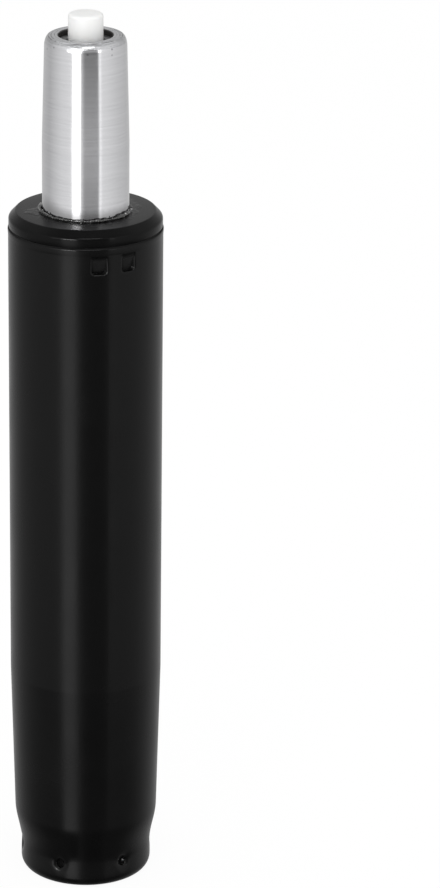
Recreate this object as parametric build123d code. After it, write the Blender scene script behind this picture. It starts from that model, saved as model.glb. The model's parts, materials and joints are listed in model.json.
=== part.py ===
"""Gas lift cylinder of a swivel chair, lowered as far as it goes, with everything that it holds inside.

A steel column stands in the chair's base by the taper at its foot. A gas spring slides in it, through a
plastic guide bush, and its own taper carries the seat. The piston rod points down and ends on a ball
bearing on the column's bottom plate, so the seat turns on the rod, and a clip under the plate keeps the
rod in. Pushing the button at the top opens the valve between the two gas chambers.

Millimetres and degrees. Z is up along the axis of the cylinder, and the origin is the centre of the
ring on which the column stands. -Y is the front.
"""
import os
from math import atan2, cos, degrees, pi, radians, sin, sqrt, tan

from build123d import *

# Clearances and what all pieces share
fit_gap = 0.03
running_gap = 0.05
axial_play = 0.10
stop_gap = 0.30
overrun = 1.0
seat_taper_angle = 1.438
base_taper_angle = 1.438
stroke = 120.0

# Column, the black outer tube
column_diameter = 50.0
column_wall = 1.5
column_height = 225.5
column_edge = 0.6
mouth_flare = 0.2
mouth_flare_length = 2.4
base_taper_length = 50.1
shoulder_length = 13.4
neck_inset = 2.35
neck_rise = 1.15
bulge_outset = 0.30
curl_radius = 2.9
lip_width = 1.2

# Stakes, the dimples that hold the bottom plate down
stake_count = 6
stake_turn = -24.2
stake_diameter = 3.4
stake_taper = 0.5
stake_floor = 0.7
stake_push = 1.3

# Tongues, the pressed windows that hold the guide bush
tongue_turns = (10.0, 33.3, 190.0, 213.3)
tongue_width = 4.7
tongue_height = 6.0
tongue_depth = 1.15
tongue_below_edge = 2.5
mouth_chamfer = 0.5

# Guide bush
flange_side = 3.25
flange_bevel = 2.35
flange_bevel_width = 2.3
flange_inset = 0.12
flange_round = 0.5
wiper_width = 1.0
wiper_height = 0.5
bush_length = 80.0
bush_core_wall = 3.0
bush_collar_wall = 2.0
bush_collar_height = 22.0
bush_foot_height = 7.0
bush_land_height = 15.0
bush_grease_depth = 0.4
bush_rib_count = 8
bush_rib_width = 1.8
bush_window_gap = 0.45

# Bottom plate
plate_thickness = 2.5
plate_rim_height = 3.85
plate_rim_wall = 2.5
hub_rise = 3.0
hub_margin = 0.4
hub_slope = 1.0

# Thrust bearing
race_land = 1.5
race_thickness = 2.0
race_groove_depth = 0.6
ball_diameter = 4.0
ball_spacing = 0.7
cage_thickness = 1.8
cage_web = 0.7
rod_hole_gap = 0.3

# Piston rod, its clip and the buffer on it
rod_diameter = 10.0
stub_diameter = 8.0
rod_tip = 1.5
rod_chamfer = 0.5
clip_thickness = 1.0
clip_groove_depth = 0.8
clip_band = 2.2
clip_reach = 1.7
clip_lobe_width = 3.0
clip_mouth_angle = 70.0
clip_washer_diameter = 16.0
clip_washer_thickness = 0.9
buffer_washer_thickness = 1.0
buffer_washer_margin = 0.5
buffer_diameter = 24.0
buffer_height = 20.0
buffer_groove_radius = 1.4
buffer_groove_count = 2
buffer_chamfer = 1.0

# Spindle, the tube of the gas spring
spindle_diameter = 28.0
spindle_wall = 2.4
exposed_length = 57.8
seat_taper_length = 34.7
rim_drop = 3.4
rim_round_width = 1.85
rim_inner_round = 0.5
top_lip_thickness = 1.8
top_lip_width = 2.9
foot_lip_thickness = 1.8
foot_lip_width = 2.4
foot_round = 2.2

# Rod guide, seals and the foot of the inner cylinder
guide_height = 10.0
guide_groove_width = 4.0
guide_groove_depth = 1.0
seal_height = 5.0
seal_lip_depth = 1.0
seal_lip_width = 1.2
seal_washer_thickness = 1.5
cylinder_wall = 1.1
bypass_gap = 0.9
foot_flange_height = 3.0
foot_spigot_height = 3.0
foot_bore_gap = 1.5
foot_slot_count = 4
foot_slot_wall = 0.75
foot_slot_width = 2.0
foot_slot_depth = 1.2

# Piston
end_gap = 1.0
piston_stem_diameter = 7.0
piston_height = 8.0
piston_seal_height = 2.6
piston_seal_depth = 1.9
piston_seal_waist = 0.5
piston_washer_thickness = 1.5
piston_washer_inset = 0.8
rivet_height = 1.8
rivet_spread = 1.6

# Valve
upper_body_height = 18.0
ring_cord = 1.9
ring_slack = 0.1
port_spacer_height = 5.5
port_spacer_wall = 1.2
port_diameter = 1.2
port_count = 4
port_groove_depth = 0.4
valve_ledge = 1.5
valve_chamber_height = 4.0
valve_spigot_height = 7.0
valve_chamber_margin = 0.9
body_ring_cord = 1.8
cylinder_ring_cord = 1.6
upper_flange_height = 1.7

# Release pin and its button
pin_diameter = 5.0
pin_waist_depth = 0.9
pin_waist_margin = 1.0
pin_head_lip = 0.6
pin_head_height = 1.5
release_travel = 4.0
button_diameter = 11.25
button_height = 13.0
button_projection = 7.1
button_round = 1.1
button_socket_depth = 6.0
button_well_gap = 0.65
button_well_margin = 1.0

# Radii that several pieces share
column_radius = column_diameter / 2
column_bore = column_radius - column_wall
taper_end_radius = column_radius - base_taper_length * tan(radians(base_taper_angle))
neck_radius = taper_end_radius - neck_inset
bulge_radius = neck_radius + bulge_outset
lip_radius = bulge_radius - curl_radius - lip_width
rod_radius = rod_diameter / 2
stub_radius = stub_diameter / 2
ball_radius = ball_diameter / 2
race_bore = stub_radius + fit_gap
race_radius = race_bore + ball_diameter + 2 * race_land
ball_ring_radius = race_bore + race_land + ball_radius
spindle_radius = spindle_diameter / 2
spindle_bore = spindle_radius - spindle_wall
bush_bore = spindle_radius + running_gap
cylinder_outer = spindle_bore - bypass_gap
cylinder_bore = cylinder_outer - cylinder_wall
stem_radius = piston_stem_diameter / 2
pin_radius = pin_diameter / 2
pin_bore = pin_radius + running_gap
pin_head_radius = pin_radius + pin_head_lip
button_radius = button_diameter / 2
well_radius = button_radius + button_well_gap

# Heights, from the ground up to the top of the buffer
plate_floor = column_wall
plate_rim_top = plate_floor + plate_rim_height
stake_boss_radius = stake_diameter / 2 + stake_taper
stake_height = plate_rim_top + stake_boss_radius + running_gap
neck_height = stake_height + neck_rise
taper_bottom = neck_height + shoulder_length
taper_top = taper_bottom + base_taper_length
hub_bottom = plate_floor + hub_rise
hub_top = hub_bottom + plate_thickness
clip_washer_top = hub_bottom - axial_play
clip_washer_bottom = clip_washer_top - clip_washer_thickness
clip_top = clip_washer_bottom - running_gap
clip_bottom = clip_top - clip_thickness
rod_bottom = clip_bottom - rod_tip
lower_race_top = hub_top + race_thickness
ball_centre = lower_race_top - race_groove_depth + running_gap + ball_radius
upper_race_bottom = ball_centre + ball_radius + running_gap - race_groove_depth
upper_race_top = upper_race_bottom + race_thickness
buffer_bottom = upper_race_top + buffer_washer_thickness
buffer_top = buffer_bottom + buffer_height

# Heights of the gas spring's lower end and of the piston
spindle_bottom = buffer_top + stop_gap
guide_bottom = spindle_bottom + foot_lip_thickness
seal_bottom = guide_bottom + guide_height
seal_washer_bottom = seal_bottom + seal_height
foot_bottom = seal_washer_bottom + seal_washer_thickness
cylinder_bottom = foot_bottom + foot_flange_height
foot_top = cylinder_bottom + foot_spigot_height
piston_washer_bottom = foot_top + stroke + end_gap
piston_bottom = piston_washer_bottom + piston_washer_thickness
piston_top = piston_bottom + piston_height
rivet_bottom = piston_top + piston_washer_thickness

# Heights of the bush, the spindle's top and the valve
bush_top = column_height + flange_side + flange_bevel
bush_bottom = column_height - bush_length
tongue_top = column_height - tongue_below_edge
tongue_bottom = tongue_top - tongue_height
spindle_top = bush_top + exposed_length
upper_body_top = spindle_top - top_lip_thickness
upper_body_bottom = upper_body_top - upper_body_height
pocket_depth = 2 * ring_cord + port_spacer_height + ring_slack
ledge_top = upper_body_bottom - pocket_depth
ledge_bottom = ledge_top - valve_ledge
seat_ring_height = ledge_top + ring_cord / 2
pin_ring_height = upper_body_bottom - ring_cord / 2
cylinder_top = ledge_bottom - valve_chamber_height
valve_bottom = cylinder_top - valve_spigot_height
button_top = spindle_top + button_projection
button_bottom = button_top - button_height


def at(radius, height):
    """A point of an outline: distance from the axis and height."""
    return Vector(radius, 0, height)


def revolved(*edges):
    """The solid that a closed outline of edges sweeps round the Z axis."""
    return revolve(make_face(edges), axis=Axis.Z)


def turned(*points):
    """A turned piece whose outline is straight lines through (radius, height) points."""
    corners = [at(*point) for point in points]
    return revolved(*Polyline(*corners, close=True).edges())


def ring(inner, outer, bottom, top):
    """A plain ring between two radii and two heights."""
    return turned((inner, bottom), (outer, bottom), (outer, top), (inner, top))


def o_ring(inner, outer, height):
    """A rubber ring of round section, whose cord fills the space between two radii."""
    return Pos(0, 0, height) * Torus((inner + outer) / 2, (outer - inner) / 2)


def facing(turn):
    """The place on the axis that looks outward, along its own +X, at an angle to the right of the front."""
    return Rot(0, 0, turn - 90)


def radial_box(inner, outer, width, bottom, top):
    """A box that reaches from one distance to another along +X, centred on it across."""
    size = Box(outer - inner, width, top - bottom)
    return Pos((inner + outer) / 2, 0, (bottom + top) / 2) * size


def wedge(points, width):
    """A prism of that width, centred across +X, whose outline is (radius, height) points."""
    face = make_face(Polyline(*[at(*point) for point in points], close=True))
    return extrude(face, width / 2, both=True)


def swaged(offset):
    """The column's side from below its flared edge down to its bulge, moved inward by offset."""
    flare_end = at(column_radius - offset, column_height - mouth_flare_length)
    taper_start = at(column_radius - offset, taper_top)
    taper_end = at(taper_end_radius - offset, taper_bottom)
    neck = at(neck_radius - offset, neck_height)
    bulge = at(bulge_radius - offset, curl_radius)
    down = Vector(0, 0, -1)
    taper_way = (taper_end - taper_start).normalized()
    return [
        Line(flare_end, taper_start),
        Line(taper_start, taper_end),
        Spline(taper_end, neck, tangents=[taper_way, down]),
        Spline(neck, bulge, tangents=[down, down]),
    ]


def make_column_tube():
    """Steel tube with the base taper, the swaged neck and a foot that curls in under the bottom plate."""
    inner_curl = curl_radius - column_wall
    curl_middle = bulge_radius - curl_radius
    bend = sqrt(2) / 2
    outer_bend = ThreePointArc(
        at(bulge_radius, curl_radius),
        at(curl_middle + bend * curl_radius, curl_radius - bend * curl_radius),
        at(curl_middle, 0),
    )
    inner_bend = ThreePointArc(
        at(bulge_radius - column_wall, curl_radius),
        at(curl_middle + bend * inner_curl, curl_radius - bend * inner_curl),
        at(curl_middle, column_wall),
    )
    lip = Polyline(
        at(curl_middle, 0),
        at(lip_radius, 0),
        at(lip_radius, column_wall),
        at(curl_middle, column_wall),
    )
    edge = Polyline(
        at(column_bore, column_height - mouth_flare_length),
        at(column_bore, column_height),
        at(column_radius + mouth_flare, column_height),
        at(column_radius, column_height - mouth_flare_length),
    )
    tube = revolved(*edge.edges(), *swaged(0), outer_bend, *lip.edges(), inner_bend, *swaged(column_wall))
    rim = tube.edges().group_by(Axis.Z)[-1].sort_by(SortBy.RADIUS)[-1]
    tube = fillet(rim, column_edge)
    for turn in tongue_turns:
        tube = press_tongue(tube, facing(turn))
    for number in range(stake_count):
        tube = press_stake(tube, facing(stake_turn + number * 360 / stake_count))
    return tube


def press_tongue(tube, place):
    """Pushes a square tongue of the wall inward: flush at its top, a sheared step at its bottom."""
    wide = tongue_width / 2 + mouth_chamfer
    inner_face = column_bore * cos(wide / column_bore)
    boss = wedge(
        [
            (inner_face + column_wall / 2, tongue_top),
            (inner_face + column_wall / 2, tongue_bottom),
            (column_bore - tongue_depth, tongue_bottom),
            (column_bore, tongue_top),
        ],
        tongue_width,
    )
    dent = wedge(
        [
            (column_radius + overrun, tongue_top),
            (column_radius, tongue_top),
            (column_radius - tongue_depth, tongue_bottom),
            (column_radius + overrun, tongue_bottom),
        ],
        tongue_width,
    )
    mouth = wedge(
        [
            (column_radius + overrun, tongue_top),
            (column_radius, tongue_top),
            (column_radius - mouth_chamfer, tongue_bottom),
            (column_radius, tongue_bottom - mouth_chamfer),
            (column_radius + overrun, tongue_bottom - mouth_chamfer),
        ],
        2 * wide,
    )
    return tube + place * boss - place * dent - place * mouth


def press_stake(tube, place):
    """Punches a round dimple whose boss stands over the rim of the bottom plate."""
    wall_inside = neck_radius - column_wall
    boss_end = wall_inside - stake_push
    boss = Pos(boss_end, 0, stake_height) * Rot(0, 90, 0) * Cylinder(
        stake_boss_radius,
        stake_push + column_wall / 2,
        align=(Align.CENTER, Align.CENTER, Align.MIN),
    )
    depth_end = boss_end + stake_floor
    narrow = stake_diameter / 2 - stake_taper
    punch = Pos(depth_end, 0, stake_height) * Rot(0, 90, 0) * Cone(
        narrow,
        stake_diameter / 2,
        neck_radius - depth_end,
        align=(Align.CENTER, Align.CENTER, Align.MIN),
    )
    mouth = Pos(neck_radius, 0, stake_height) * Rot(0, 90, 0) * Cylinder(
        stake_diameter / 2,
        overrun,
        align=(Align.CENTER, Align.CENTER, Align.MIN),
    )
    return tube + place * boss - place * punch - place * mouth


def make_guide_bush():
    """Plastic bush: a bevelled flange on the column, a windowed collar, ribs and two bearing lands."""
    flange_radius = column_radius - flange_inset
    flat_radius = flange_radius - flange_bevel_width
    side_top = column_height + flange_side
    wiper_radius = bush_bore + wiper_width
    flange = turned(
        (bush_bore, column_height),
        (flange_radius, column_height),
        (flange_radius, side_top),
        (flat_radius, bush_top),
        (wiper_radius, bush_top),
        (bush_bore + wiper_width / 2, bush_top + wiper_height),
        (bush_bore, bush_top + wiper_height),
    )
    corner = flange.edges().filter_by_position(Axis.Z, side_top - fit_gap, side_top + fit_gap)
    flange = fillet(corner, flange_round)
    sleeve_radius = column_bore - running_gap
    core_radius = bush_bore + bush_core_wall
    bush = flange + ring(bush_bore, core_radius, bush_bottom, column_height)
    collar_bottom = column_height - bush_collar_height
    bush += ring(sleeve_radius - bush_collar_wall, sleeve_radius, collar_bottom, column_height)
    bush += ring(bush_bore, sleeve_radius, bush_bottom, bush_bottom + bush_foot_height)
    rib_start = (tongue_turns[0] + tongue_turns[1]) / 2
    rib_reach = ring(bush_bore, sleeve_radius, bush_bottom, column_height)
    rib_root = core_radius - bush_core_wall / 2
    rib = radial_box(rib_root, column_radius, bush_rib_width, bush_bottom, column_height)
    for number in range(bush_rib_count):
        bush += facing(rib_start + number * 360 / bush_rib_count) * rib & rib_reach
    grease_pocket = ring(
        0,
        bush_bore + bush_grease_depth,
        bush_bottom + bush_land_height,
        bush_top - bush_land_height,
    )
    bush -= grease_pocket
    window = radial_box(
        column_bore - tongue_depth - bush_window_gap,
        column_radius,
        tongue_width + 2 * bush_window_gap,
        tongue_bottom - bush_window_gap,
        tongue_top,
    )
    for turn in tongue_turns:
        bush -= facing(turn) * window
    return bush


def make_bottom_plate():
    """Pressed steel cup that sits in the curled foot, with a raised hub for the bearing."""
    bend = curl_radius - column_wall
    plate_radius = bulge_radius - column_wall - fit_gap
    rim_radius = neck_radius - column_wall - fit_gap
    rim_inner = rim_radius - plate_rim_wall
    hub_radius = race_radius + hub_margin
    hub_foot = hub_radius + hub_slope
    recess = hub_foot - plate_thickness
    floor_top = plate_floor + plate_thickness
    plate = turned(
        (stub_radius + rod_hole_gap, hub_bottom),
        (recess, hub_bottom),
        (recess, plate_floor),
        (plate_radius - bend, plate_floor),
        (plate_radius, plate_floor + bend),
        (rim_radius, plate_rim_top),
        (rim_inner, plate_rim_top),
        (rim_inner, floor_top),
        (hub_foot, floor_top),
        (hub_radius, hub_top),
        (stub_radius + rod_hole_gap, hub_top),
    )
    return plate


def ball_track():
    """The ring-shaped space in which the balls run."""
    return Pos(0, 0, ball_centre) * Torus(ball_ring_radius, ball_radius + running_gap)


def make_lower_race():
    """Washer with the ball track on top, lying on the hub."""
    return ring(stub_radius + rod_hole_gap, race_radius, hub_top, lower_race_top) - ball_track()


def make_upper_race():
    """Washer with the ball track below, carrying the shoulder of the rod."""
    return ring(race_bore, race_radius, upper_race_bottom, upper_race_top) - ball_track()


def ball_places():
    """One place for each ball that fits round the track."""
    count = int(2 * pi * ball_ring_radius / (ball_diameter + ball_spacing))
    first = Pos(ball_ring_radius, 0, ball_centre)
    return [Rot(0, 0, 360 * number / count) * first for number in range(count)]


def make_bearing_balls():
    """The steel balls, each a solid of its own."""
    return Compound([place * Sphere(ball_radius) for place in ball_places()])


def make_ball_cage():
    """Plastic cage with a round pocket for each ball."""
    half_width = ball_radius + cage_web
    half_thick = cage_thickness / 2
    cage = ring(
        ball_ring_radius - half_width,
        ball_ring_radius + half_width,
        ball_centre - half_thick,
        ball_centre + half_thick,
    )
    for place in ball_places():
        cage -= place * Cylinder(ball_radius + running_gap, 2 * cage_thickness)
    return cage


def make_piston_rod():
    """Ground steel rod: a grooved stub below its shoulder and a riveted stem for the piston on top."""
    groove_radius = stub_radius - clip_groove_depth
    rivet_radius = stem_radius + rivet_spread
    rivet_top = rivet_bottom + rivet_height
    outline = Polyline(
        at(0, rivet_top),
        at(0, rod_bottom),
        at(stub_radius - rod_chamfer, rod_bottom),
        at(stub_radius, rod_bottom + rod_chamfer),
        at(stub_radius, clip_bottom - running_gap),
        at(groove_radius, clip_bottom - running_gap),
        at(groove_radius, clip_top + running_gap),
        at(stub_radius, clip_top + running_gap),
        at(stub_radius, upper_race_top),
        at(rod_radius, upper_race_top),
        at(rod_radius, piston_washer_bottom - rod_chamfer),
        at(rod_radius - rod_chamfer, piston_washer_bottom),
        at(stem_radius, piston_washer_bottom),
        at(stem_radius, rivet_bottom),
        at(rivet_radius, rivet_bottom),
    )
    dome = Spline(
        at(rivet_radius, rivet_bottom),
        at(0, rivet_top),
        tangents=[Vector(0, 0, 1), Vector(-1, 0, 0)],
    )
    return revolved(*outline.edges(), dome)


def make_retaining_clip():
    """Snap clip with three lobes in the rod's groove and an open mouth."""
    lobe_end = stub_radius - clip_groove_depth + running_gap
    band_inner = stub_radius + clip_reach
    band_outer = band_inner + clip_band
    clip = ring(band_inner, band_outer, clip_bottom, clip_top)
    mouth = Rot(0, 0, -clip_mouth_angle / 2) * extrude(
        make_face(
            Polyline(
                Vector(0, 0),
                Vector(2 * band_outer, 0),
                2 * band_outer * Vector(cos(radians(clip_mouth_angle)), sin(radians(clip_mouth_angle))),
                close=True,
            )
        ),
        spindle_top,
    )
    clip -= mouth
    reach = ring(lobe_end, band_outer, clip_bottom, clip_top)
    lobe = radial_box(0, band_inner + clip_band / 2, clip_lobe_width, clip_bottom, clip_top)
    first = clip_mouth_angle / 2 + degrees(atan2(clip_lobe_width / 2, band_inner))
    for turn in (first, 180, -first):
        clip += Rot(0, 0, turn) * lobe & reach
    return clip


def make_clip_washer():
    """Washer between the clip and the bottom plate."""
    return ring(race_bore, clip_washer_diameter / 2, clip_washer_bottom, clip_washer_top)


def make_buffer_washer():
    """Washer that spreads the buffer's load over the bearing."""
    outer = buffer_diameter / 2 + buffer_washer_margin
    return ring(rod_radius + fit_gap, outer, upper_race_top, buffer_bottom)


def make_buffer():
    """Rubber buffer with waists, which stops the spindle at the bottom of its travel."""
    outer = buffer_diameter / 2
    bore = rod_radius + running_gap
    buffer = turned(
        (bore, buffer_bottom),
        (outer - buffer_chamfer, buffer_bottom),
        (outer, buffer_bottom + buffer_chamfer),
        (outer, buffer_top - buffer_chamfer),
        (outer - buffer_chamfer, buffer_top),
        (bore, buffer_top),
    )
    for number in range(buffer_groove_count):
        share = (number + 1) / (buffer_groove_count + 1)
        buffer -= Pos(0, 0, buffer_bottom + share * buffer_height) * Torus(outer, buffer_groove_radius)
    return buffer


def make_piston_washers():
    """The two steel discs that hold the piston on the rod's stem."""
    outer = cylinder_bore - piston_washer_inset
    below = ring(stem_radius + fit_gap, outer, piston_washer_bottom, piston_bottom)
    above = ring(stem_radius + fit_gap, outer, piston_top, rivet_bottom)
    return below, above


def piston_groove():
    """Inner radius, bottom and top of the groove for the piston's seal."""
    middle = (piston_bottom + piston_top) / 2
    half = piston_seal_height / 2
    return cylinder_bore - running_gap - piston_seal_depth, middle - half, middle + half


def make_piston():
    """Aluminium piston with a groove for its seal."""
    groove_radius, groove_bottom, groove_top = piston_groove()
    outer = cylinder_bore - 2 * running_gap
    inner = stem_radius + fit_gap
    body = ring(inner, outer, piston_bottom, piston_top)
    return body - ring(groove_radius, cylinder_bore, groove_bottom, groove_top)


def make_piston_seal():
    """Rubber seal ring of the piston, with a waist between its two lips."""
    groove_radius, groove_bottom, groove_top = piston_groove()
    inner = groove_radius + fit_gap
    outer = cylinder_bore - running_gap
    waist = outer - piston_seal_waist
    low = groove_bottom + fit_gap
    high = groove_top - fit_gap
    return turned((inner, low), (outer, low), (waist, (low + high) / 2), (outer, high), (inner, high))


def make_spindle_tube():
    """Ground steel tube with the seat taper, rolled in over the valve above and the rod guide below."""
    rim_end = seat_taper_length - rim_drop
    shoulder_radius = spindle_radius - rim_end * tan(radians(seat_taper_angle))
    shoulder_height = spindle_top - rim_drop
    taper_start = at(spindle_radius, spindle_top - seat_taper_length)
    shoulder = at(shoulder_radius, shoulder_height)
    mouth = spindle_bore - top_lip_width
    rim_outer = shoulder_radius - rim_round_width
    bend = sqrt(2) / 2
    foot_middle = spindle_radius - foot_round
    foot_bend = ThreePointArc(
        at(foot_middle, spindle_bottom),
        at(foot_middle + bend * foot_round, spindle_bottom + foot_round - bend * foot_round),
        at(spindle_radius, spindle_bottom + foot_round),
    )
    rim_bend = Spline(
        shoulder,
        at(rim_outer, spindle_top),
        tangents=[(shoulder - taper_start).normalized(), Vector(-1, 0, 0)],
    )
    inside = Polyline(
        at(rim_outer, spindle_top),
        at(mouth + rim_inner_round, spindle_top),
        at(mouth, spindle_top - rim_inner_round),
        at(mouth, upper_body_top),
        at(spindle_bore, upper_body_top),
        at(spindle_bore, guide_bottom),
        at(spindle_bore - foot_lip_width, guide_bottom),
        at(spindle_bore - foot_lip_width, spindle_bottom),
        at(foot_middle, spindle_bottom),
    )
    side = Polyline(at(spindle_radius, spindle_bottom + foot_round), taper_start, shoulder)
    return revolved(foot_bend, *side.edges(), rim_bend, *inside.edges())


def make_rod_guide():
    """Guide bush of the rod, with a waist round its outside."""
    outer = spindle_bore - fit_gap
    middle = (guide_bottom + seal_bottom) / 2
    low = middle - guide_groove_width / 2
    high = middle + guide_groove_width / 2
    guide = ring(rod_radius + running_gap, outer, guide_bottom, seal_bottom)
    return guide - ring(outer - guide_groove_depth, spindle_radius, low, high)


def make_rod_seal():
    """Rubber rod seal with two lips towards the rod."""
    outer = spindle_bore - fit_gap
    lip = rod_radius + running_gap
    inner = lip + seal_lip_depth
    return turned(
        (inner, seal_bottom),
        (outer, seal_bottom),
        (outer, seal_washer_bottom),
        (inner, seal_washer_bottom),
        (lip, seal_washer_bottom - seal_lip_width / 2),
        (inner, seal_washer_bottom - seal_lip_width),
        (inner, seal_bottom + seal_lip_width),
        (lip, seal_bottom + seal_lip_width / 2),
    )


def make_seal_washer():
    """Washer that backs the rod seal."""
    return ring(rod_radius + rod_hole_gap, spindle_bore - fit_gap, seal_washer_bottom, foot_bottom)


def make_cylinder_foot():
    """Holder of the inner cylinder's lower end, slotted so that gas passes to the rod side."""
    bore = rod_radius + foot_bore_gap
    foot = ring(bore, spindle_bore - fit_gap, foot_bottom, cylinder_bottom)
    foot += ring(bore, cylinder_bore - fit_gap, cylinder_bottom, foot_top)
    slot_floor = cylinder_bottom - foot_slot_depth
    slot = radial_box(bore + foot_slot_wall, spindle_bore, foot_slot_width, slot_floor, foot_top)
    reach = ring(0, cylinder_outer + bypass_gap / 2, foot_bottom, foot_top)
    for number in range(foot_slot_count):
        foot -= Rot(0, 0, number * 360 / foot_slot_count) * slot & reach
    return foot


def make_inner_cylinder():
    """Thin tube in which the piston runs."""
    return ring(cylinder_bore, cylinder_outer, cylinder_bottom, cylinder_top)


def make_upper_valve_body():
    """Upper half of the valve: the button's well, the pin's guide and a groove for the sealing ring."""
    outer = spindle_bore - fit_gap
    well_bottom = button_bottom - release_travel - button_well_margin
    groove_middle = (well_bottom + upper_body_bottom) / 2
    groove_half = body_ring_cord / 2 + fit_gap
    groove_radius = spindle_bore - body_ring_cord - fit_gap
    body = turned(
        (pin_bore, upper_body_bottom),
        (outer, upper_body_bottom),
        (outer, upper_body_top),
        (well_radius, upper_body_top),
        (well_radius, well_bottom),
        (pin_bore, well_bottom),
    )
    groove_bottom = groove_middle - groove_half
    groove_top = groove_middle + groove_half
    return body - ring(groove_radius, spindle_radius, groove_bottom, groove_top)


def make_body_ring():
    """Rubber ring between the upper valve body and the spindle."""
    well_bottom = button_bottom - release_travel - button_well_margin
    outer = spindle_bore - fit_gap / 2
    return o_ring(outer - body_ring_cord, outer, (well_bottom + upper_body_bottom) / 2)


def ring_pocket_radius():
    """Radius of the pocket that holds the pin's two rubber rings and the port spacer."""
    return pin_bore + ring_cord + fit_gap


def make_lower_valve_body():
    """Lower half of the valve: the rings' pocket, the ledge over the pin's head and the spigot."""
    pocket = ring_pocket_radius()
    chamber = pin_head_radius + valve_chamber_margin
    spigot = cylinder_bore - fit_gap
    groove_middle = (valve_bottom + cylinder_top) / 2
    groove_half = cylinder_ring_cord / 2 + fit_gap
    flange_bottom = upper_body_bottom - upper_flange_height
    body = turned(
        (pocket, upper_body_bottom),
        (pocket, ledge_top),
        (pin_bore, ledge_top),
        (pin_bore, ledge_bottom),
        (chamber, ledge_bottom),
        (chamber, valve_bottom),
        (spigot, valve_bottom),
        (spigot, cylinder_top),
        (cylinder_outer, cylinder_top),
        (cylinder_outer, flange_bottom),
        (spindle_bore - fit_gap, flange_bottom),
        (spindle_bore - fit_gap, upper_body_bottom),
    )
    groove_bottom = groove_middle - groove_half
    groove_top = groove_middle + groove_half
    body -= ring(spigot - cylinder_ring_cord, cylinder_outer, groove_bottom, groove_top)
    return drill_ports(body)


def drill_ports(piece):
    """Drills the radial gas ports at the middle of the port spacer."""
    middle = (seat_ring_height + pin_ring_height) / 2
    port = Pos(0, 0, middle) * Rot(0, 90, 0) * Cylinder(
        port_diameter / 2,
        spindle_diameter,
        align=(Align.CENTER, Align.CENTER, Align.MIN),
    )
    for number in range(port_count):
        piece -= Rot(0, 0, number * 360 / port_count) * port
    return piece


def make_cylinder_ring():
    """Rubber ring between the lower valve body and the inner cylinder."""
    outer = cylinder_bore - fit_gap / 2
    return o_ring(outer - cylinder_ring_cord, outer, (valve_bottom + cylinder_top) / 2)


def make_port_spacer():
    """Spacer between the pin's two rings, with ports for the gas and a groove that joins them."""
    outer = ring_pocket_radius() - fit_gap
    inner = outer - port_spacer_wall
    bottom = seat_ring_height + ring_cord / 2
    middle = bottom + port_spacer_height / 2
    spacer = ring(inner, outer, bottom, bottom + port_spacer_height)
    groove_bottom = middle - port_diameter
    groove_top = middle + port_diameter
    spacer -= ring(outer - port_groove_depth, spindle_radius, groove_bottom, groove_top)
    return drill_ports(spacer)


def make_pin_rings():
    """The pin's lower ring, on which the valve seats, and its upper ring."""
    outer = ring_pocket_radius() - fit_gap
    return o_ring(pin_bore, outer, seat_ring_height), o_ring(pin_bore, outer, pin_ring_height)


def make_release_pin():
    """Steel pin: pushed down, its neck comes level with the seat ring and lets gas past."""
    waist_radius = pin_radius - pin_waist_depth
    head_top = ledge_bottom - axial_play
    head_bottom = head_top - pin_head_height
    waist_middle = seat_ring_height + release_travel
    waist_half = (ring_cord + pin_waist_margin) / 2
    pin_top = button_bottom + button_socket_depth
    return turned(
        (0, head_bottom),
        (pin_head_radius, head_bottom),
        (pin_head_radius, head_top),
        (pin_radius, head_top),
        (pin_radius, waist_middle - waist_half - pin_waist_depth / 2),
        (waist_radius, waist_middle - waist_half + pin_waist_depth / 2),
        (waist_radius, waist_middle + waist_half - pin_waist_depth / 2),
        (pin_radius, waist_middle + waist_half + pin_waist_depth / 2),
        (pin_radius, pin_top),
        (0, pin_top),
    )


def make_release_button():
    """White plastic button with a socket for the pin and a rounded top edge."""
    button = Pos(0, 0, button_bottom) * Cylinder(
        button_radius,
        button_height,
        align=(Align.CENTER, Align.CENTER, Align.MIN),
    )
    button = fillet(button.edges().group_by(Axis.Z)[-1], button_round)
    return button - ring(0, pin_radius + fit_gap, button_bottom, button_bottom + button_socket_depth)


def main():
    """Builds every piece and writes one STEP file for each."""
    lower_piston_washer, upper_piston_washer = make_piston_washers()
    seat_ring, pin_ring = make_pin_rings()
    pieces = {
        "column_tube": make_column_tube(),
        "guide_bush": make_guide_bush(),
        "bottom_plate": make_bottom_plate(),
        "lower_bearing_race": make_lower_race(),
        "bearing_balls": make_bearing_balls(),
        "ball_cage": make_ball_cage(),
        "upper_bearing_race": make_upper_race(),
        "piston_rod": make_piston_rod(),
        "retaining_clip": make_retaining_clip(),
        "clip_washer": make_clip_washer(),
        "buffer_washer": make_buffer_washer(),
        "rubber_buffer": make_buffer(),
        "piston_lower_washer": lower_piston_washer,
        "piston": make_piston(),
        "piston_seal": make_piston_seal(),
        "piston_upper_washer": upper_piston_washer,
        "spindle_tube": make_spindle_tube(),
        "inner_cylinder": make_inner_cylinder(),
        "rod_guide": make_rod_guide(),
        "rod_seal": make_rod_seal(),
        "seal_washer": make_seal_washer(),
        "cylinder_foot": make_cylinder_foot(),
        "upper_valve_body": make_upper_valve_body(),
        "lower_valve_body": make_lower_valve_body(),
        "valve_body_ring": make_body_ring(),
        "cylinder_ring": make_cylinder_ring(),
        "port_spacer": make_port_spacer(),
        "valve_seat_ring": seat_ring,
        "pin_seal_ring": pin_ring,
        "release_pin": make_release_pin(),
        "release_button": make_release_button(),
    }
    os.makedirs("parts", exist_ok=True)
    for name, piece in pieces.items():
        export_step(piece, f"parts/{name}.step")


main()
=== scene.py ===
import json
import math

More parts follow.
